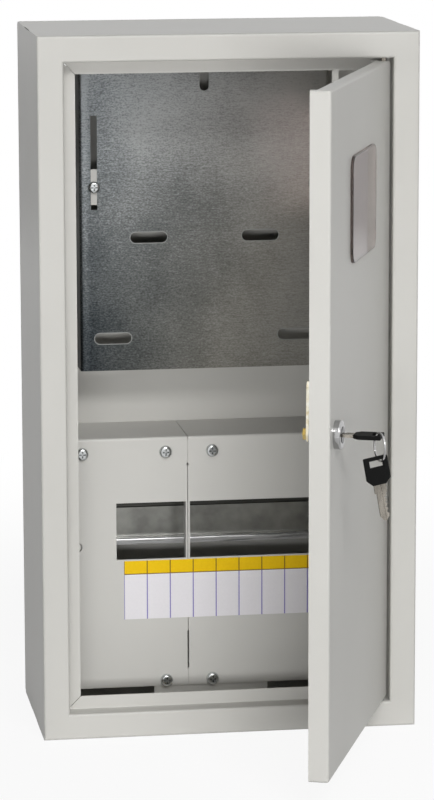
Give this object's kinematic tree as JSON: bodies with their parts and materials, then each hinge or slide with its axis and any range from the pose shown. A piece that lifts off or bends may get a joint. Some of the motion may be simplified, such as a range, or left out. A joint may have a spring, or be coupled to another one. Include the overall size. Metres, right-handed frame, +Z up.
{
  "type": "electrical enclosure",
  "caption": "Wall-mounted sheet-steel enclosure for a meter and breakers, with a hinged windowed door, cam lock, slotted meter plate, and covers over a mounting rail.",
  "frame": {"origin": "middle of the four wall-fixing holes on the rear face of the back panel", "axes": "+X to the right seen from the front, +Y from the front into the wall, +Z up; the door is open at rest"},
  "size_m": [0.29, 0.3791, 0.54],
  "materials": {
    "paint": "light grey powder coat, satin",
    "galvanised": "galvanised, faint spangle",
    "plated_steel": "zinc plated",
    "chrome": "polished",
    "yellow_zinc": "yellow passivated",
    "black_plastic": "fine grain",
    "pane": "clear, slightly tinted",
    "label": "plain cells below a yellow band"
  },
  "bodies": {
    "enclosure": {"housing": "paint", "back_panel": "paint", "hinge_pins": "plated_steel", "hinge_washer": "plated_steel", "meter_panel": "galvanised", "panel_brackets": "paint", "panel_screws": "plated_steel", "left_cover": "paint", "right_cover": "paint", "cover_crossbar": "paint", "cover_foot": "paint", "cover_screws": "plated_steel", "label_strip": "label", "din_rail": "galvanised", "rail_brackets": "galvanised", "rail_screws": "plated_steel", "earth_stud": "plated_steel", "earth_nut": "yellow_zinc"},
    "door": {"door": "paint", "window_pane": "pane", "pane_clips": "plated_steel", "lock_barrel": "chrome", "lock_nut": "plated_steel", "door_earth_stud": "plated_steel", "door_earth_nut": "yellow_zinc"},
    "lock": {"lock_plug": "chrome", "lock_cam": "yellow_zinc", "cam_screw": "yellow_zinc"},
    "key": {"key_blade": "chrome", "key_bow": "black_plastic"},
    "ring": {"key_ring": "chrome"},
    "spare_key": {"spare_key_blade": "chrome", "spare_key_bow": "black_plastic"}
  },
  "joints": [
    {"name": "door_hinge", "type": "hinge", "parent": "enclosure", "child": "door", "pos_m": [0.118, -0.1455, 0], "axis": [0, 0, 1], "range_deg": [-69, 36]},
    {"name": "lock_turn", "type": "hinge", "parent": "door", "child": "lock", "pos_m": [0.04318, -0.35297, 0.0024], "axis": [0.9336, -0.3584, 0], "range_deg": [0, 90]},
    {"name": "key_slide", "type": "slide", "parent": "lock", "child": "key", "axis": [0.9336, -0.3584, 0], "range_m": [0, 0.022]},
    {"name": "ring_swing", "type": "hinge", "parent": "key", "child": "ring", "pos_m": [0.07219, -0.3685, 0.0024], "axis": [-0.1908, 0.9816, 0], "range_deg": [-15, 15]},
    {"name": "spare_swing", "type": "hinge", "parent": "ring", "child": "spare_key", "pos_m": [0.07219, -0.3685, -0.01444], "axis": [-0.1908, 0.9816, 0], "range_deg": [-30, 30]}
  ]
}
